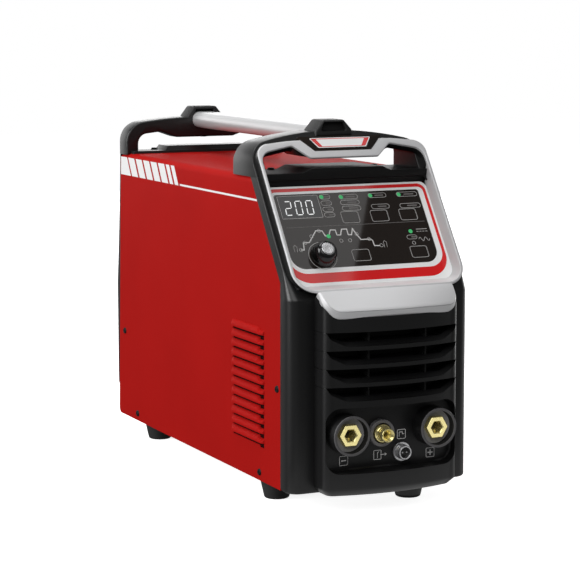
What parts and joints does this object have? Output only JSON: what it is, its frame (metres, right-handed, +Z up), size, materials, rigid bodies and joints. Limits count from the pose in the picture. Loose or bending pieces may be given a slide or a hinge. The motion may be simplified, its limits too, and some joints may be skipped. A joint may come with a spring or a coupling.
{
  "type": "tig welding machine",
  "caption": "Portable inverter TIG welding power source: red sheet-metal case, leaning control fascia, front current and gas sockets, two end hoops joined by an oval handle bar.",
  "frame": {"origin": "on the floor under the middle of the machine, centred in width and length", "axes": "+X across the machine, to the right seen from the front; +Y from the front with the sockets to the rear with the mains switch; +Z up"},
  "size_m": [0.2102, 0.58, 0.398],
  "materials": {
    "red_paint": "satin powder coat",
    "black_plastic": "fine moulded texture",
    "grey_plastic": "satin",
    "silver_paint": "silver satin lacquer",
    "panel_film": "printed film, semi-gloss",
    "button_plastic": "satin",
    "knob_plastic": "satin",
    "knob_metal": "turned",
    "smoked_window": "smoked clear",
    "brass": "turned",
    "plated_steel": "zinc plated",
    "black_steel": "black satin",
    "aluminium": "satin anodised",
    "rubber": "matte",
    "circuit_board": "green board",
    "copper": "varnished copper",
    "ferrite": "dull",
    "red_plastic": "gloss"
  },
  "bodies": {
    "case": {"outer_cover": "red_paint", "base_tray": "black_steel", "front_bezel": "black_plastic", "grille_panel": "black_plastic", "fascia_frame": "silver_paint", "badge_plate": "black_plastic", "panel_plate": "black_steel", "panel_overlay": "panel_film", "display_window": "smoked_window", "display_module": "black_plastic", "control_pcb": "circuit_board", "tact_switches": "black_plastic", "encoder_body": "plated_steel", "minus_collar": "grey_plastic", "minus_socket": "brass", "plus_collar": "grey_plastic", "plus_socket": "brass", "socket_nuts": "brass", "gas_outlet_seat": "grey_plastic", "gas_outlet": "brass", "torch_plug_shell": "plated_steel", "torch_plug_insert": "black_plastic", "torch_plug_pins": "plated_steel", "rear_bezel": "black_plastic", "rear_plate": "black_steel", "fan_guard": "plated_steel", "fan_frame": "black_plastic", "switch_body": "black_plastic", "cable_gland": "black_plastic", "gas_inlet": "brass", "earth_stud": "plated_steel", "handle_bar": "aluminium", "handle_bolts": "plated_steel", "feet": "rubber", "foot_screws": "plated_steel", "side_screws": "black_steel", "top_screws": "black_steel", "rear_screws": "black_steel", "heatsinks": "aluminium", "power_modules": "black_plastic", "power_pcb": "circuit_board", "capacitors": "black_plastic", "transformer_core": "ferrite", "transformer_coil": "copper", "output_choke": "copper", "arc_start_coil": "copper", "gas_valve": "plated_steel", "gas_hose": "rubber", "busbars": "copper"},
    "knob": {"setting_knob": "knob_plastic", "knob_cap": "knob_metal", "encoder_shaft": "plated_steel"},
    "arc_mode_key": {"arc_mode_button": "button_plastic"},
    "trigger_key": {"trigger_button": "button_plastic"},
    "pulse_key": {"pulse_button": "button_plastic"},
    "select_key": {"select_button": "button_plastic"},
    "current_key": {"current_button": "button_plastic"},
    "rocker": {"switch_rocker": "red_plastic"},
    "fan": {"fan_rotor": "black_plastic"}
  },
  "joints": [
    {"name": "knob_turn", "type": "hinge", "parent": "case", "child": "knob", "pos_m": [-0.05, -0.21757, 0.26617], "axis": [0, -0.8192, 0.5736], "continuous": true},
    {"name": "arc_mode_press", "type": "slide", "parent": "case", "child": "arc_mode_key", "axis": [0, 0.8192, -0.5736], "range_m": [0, 0.0008], "stiffness_N_per_m": 1500, "springref_m": -0.0005},
    {"name": "trigger_press", "type": "slide", "parent": "case", "child": "trigger_key", "axis": [0, 0.8192, -0.5736], "range_m": [0, 0.0008], "stiffness_N_per_m": 1500, "springref_m": -0.0005},
    {"name": "pulse_press", "type": "slide", "parent": "case", "child": "pulse_key", "axis": [0, 0.8192, -0.5736], "range_m": [0, 0.0008], "stiffness_N_per_m": 1500, "springref_m": -0.0005},
    {"name": "select_press", "type": "slide", "parent": "case", "child": "select_key", "axis": [0, 0.8192, -0.5736], "range_m": [0, 0.0008], "stiffness_N_per_m": 1500, "springref_m": -0.0005},
    {"name": "current_press", "type": "slide", "parent": "case", "child": "current_key", "axis": [0, 0.8192, -0.5736], "range_m": [0, 0.0008], "stiffness_N_per_m": 1500, "springref_m": -0.0005},
    {"name": "switch_rock", "type": "hinge", "parent": "case", "child": "rocker", "pos_m": [-0.052, 0.221, 0.268], "axis": [1, 0, 0], "range_deg": [0, 16]},
    {"name": "fan_spin", "type": "hinge", "parent": "case", "child": "fan", "pos_m": [0, 0.211, 0.15], "axis": [0, 1, 0], "continuous": true}
  ]
}
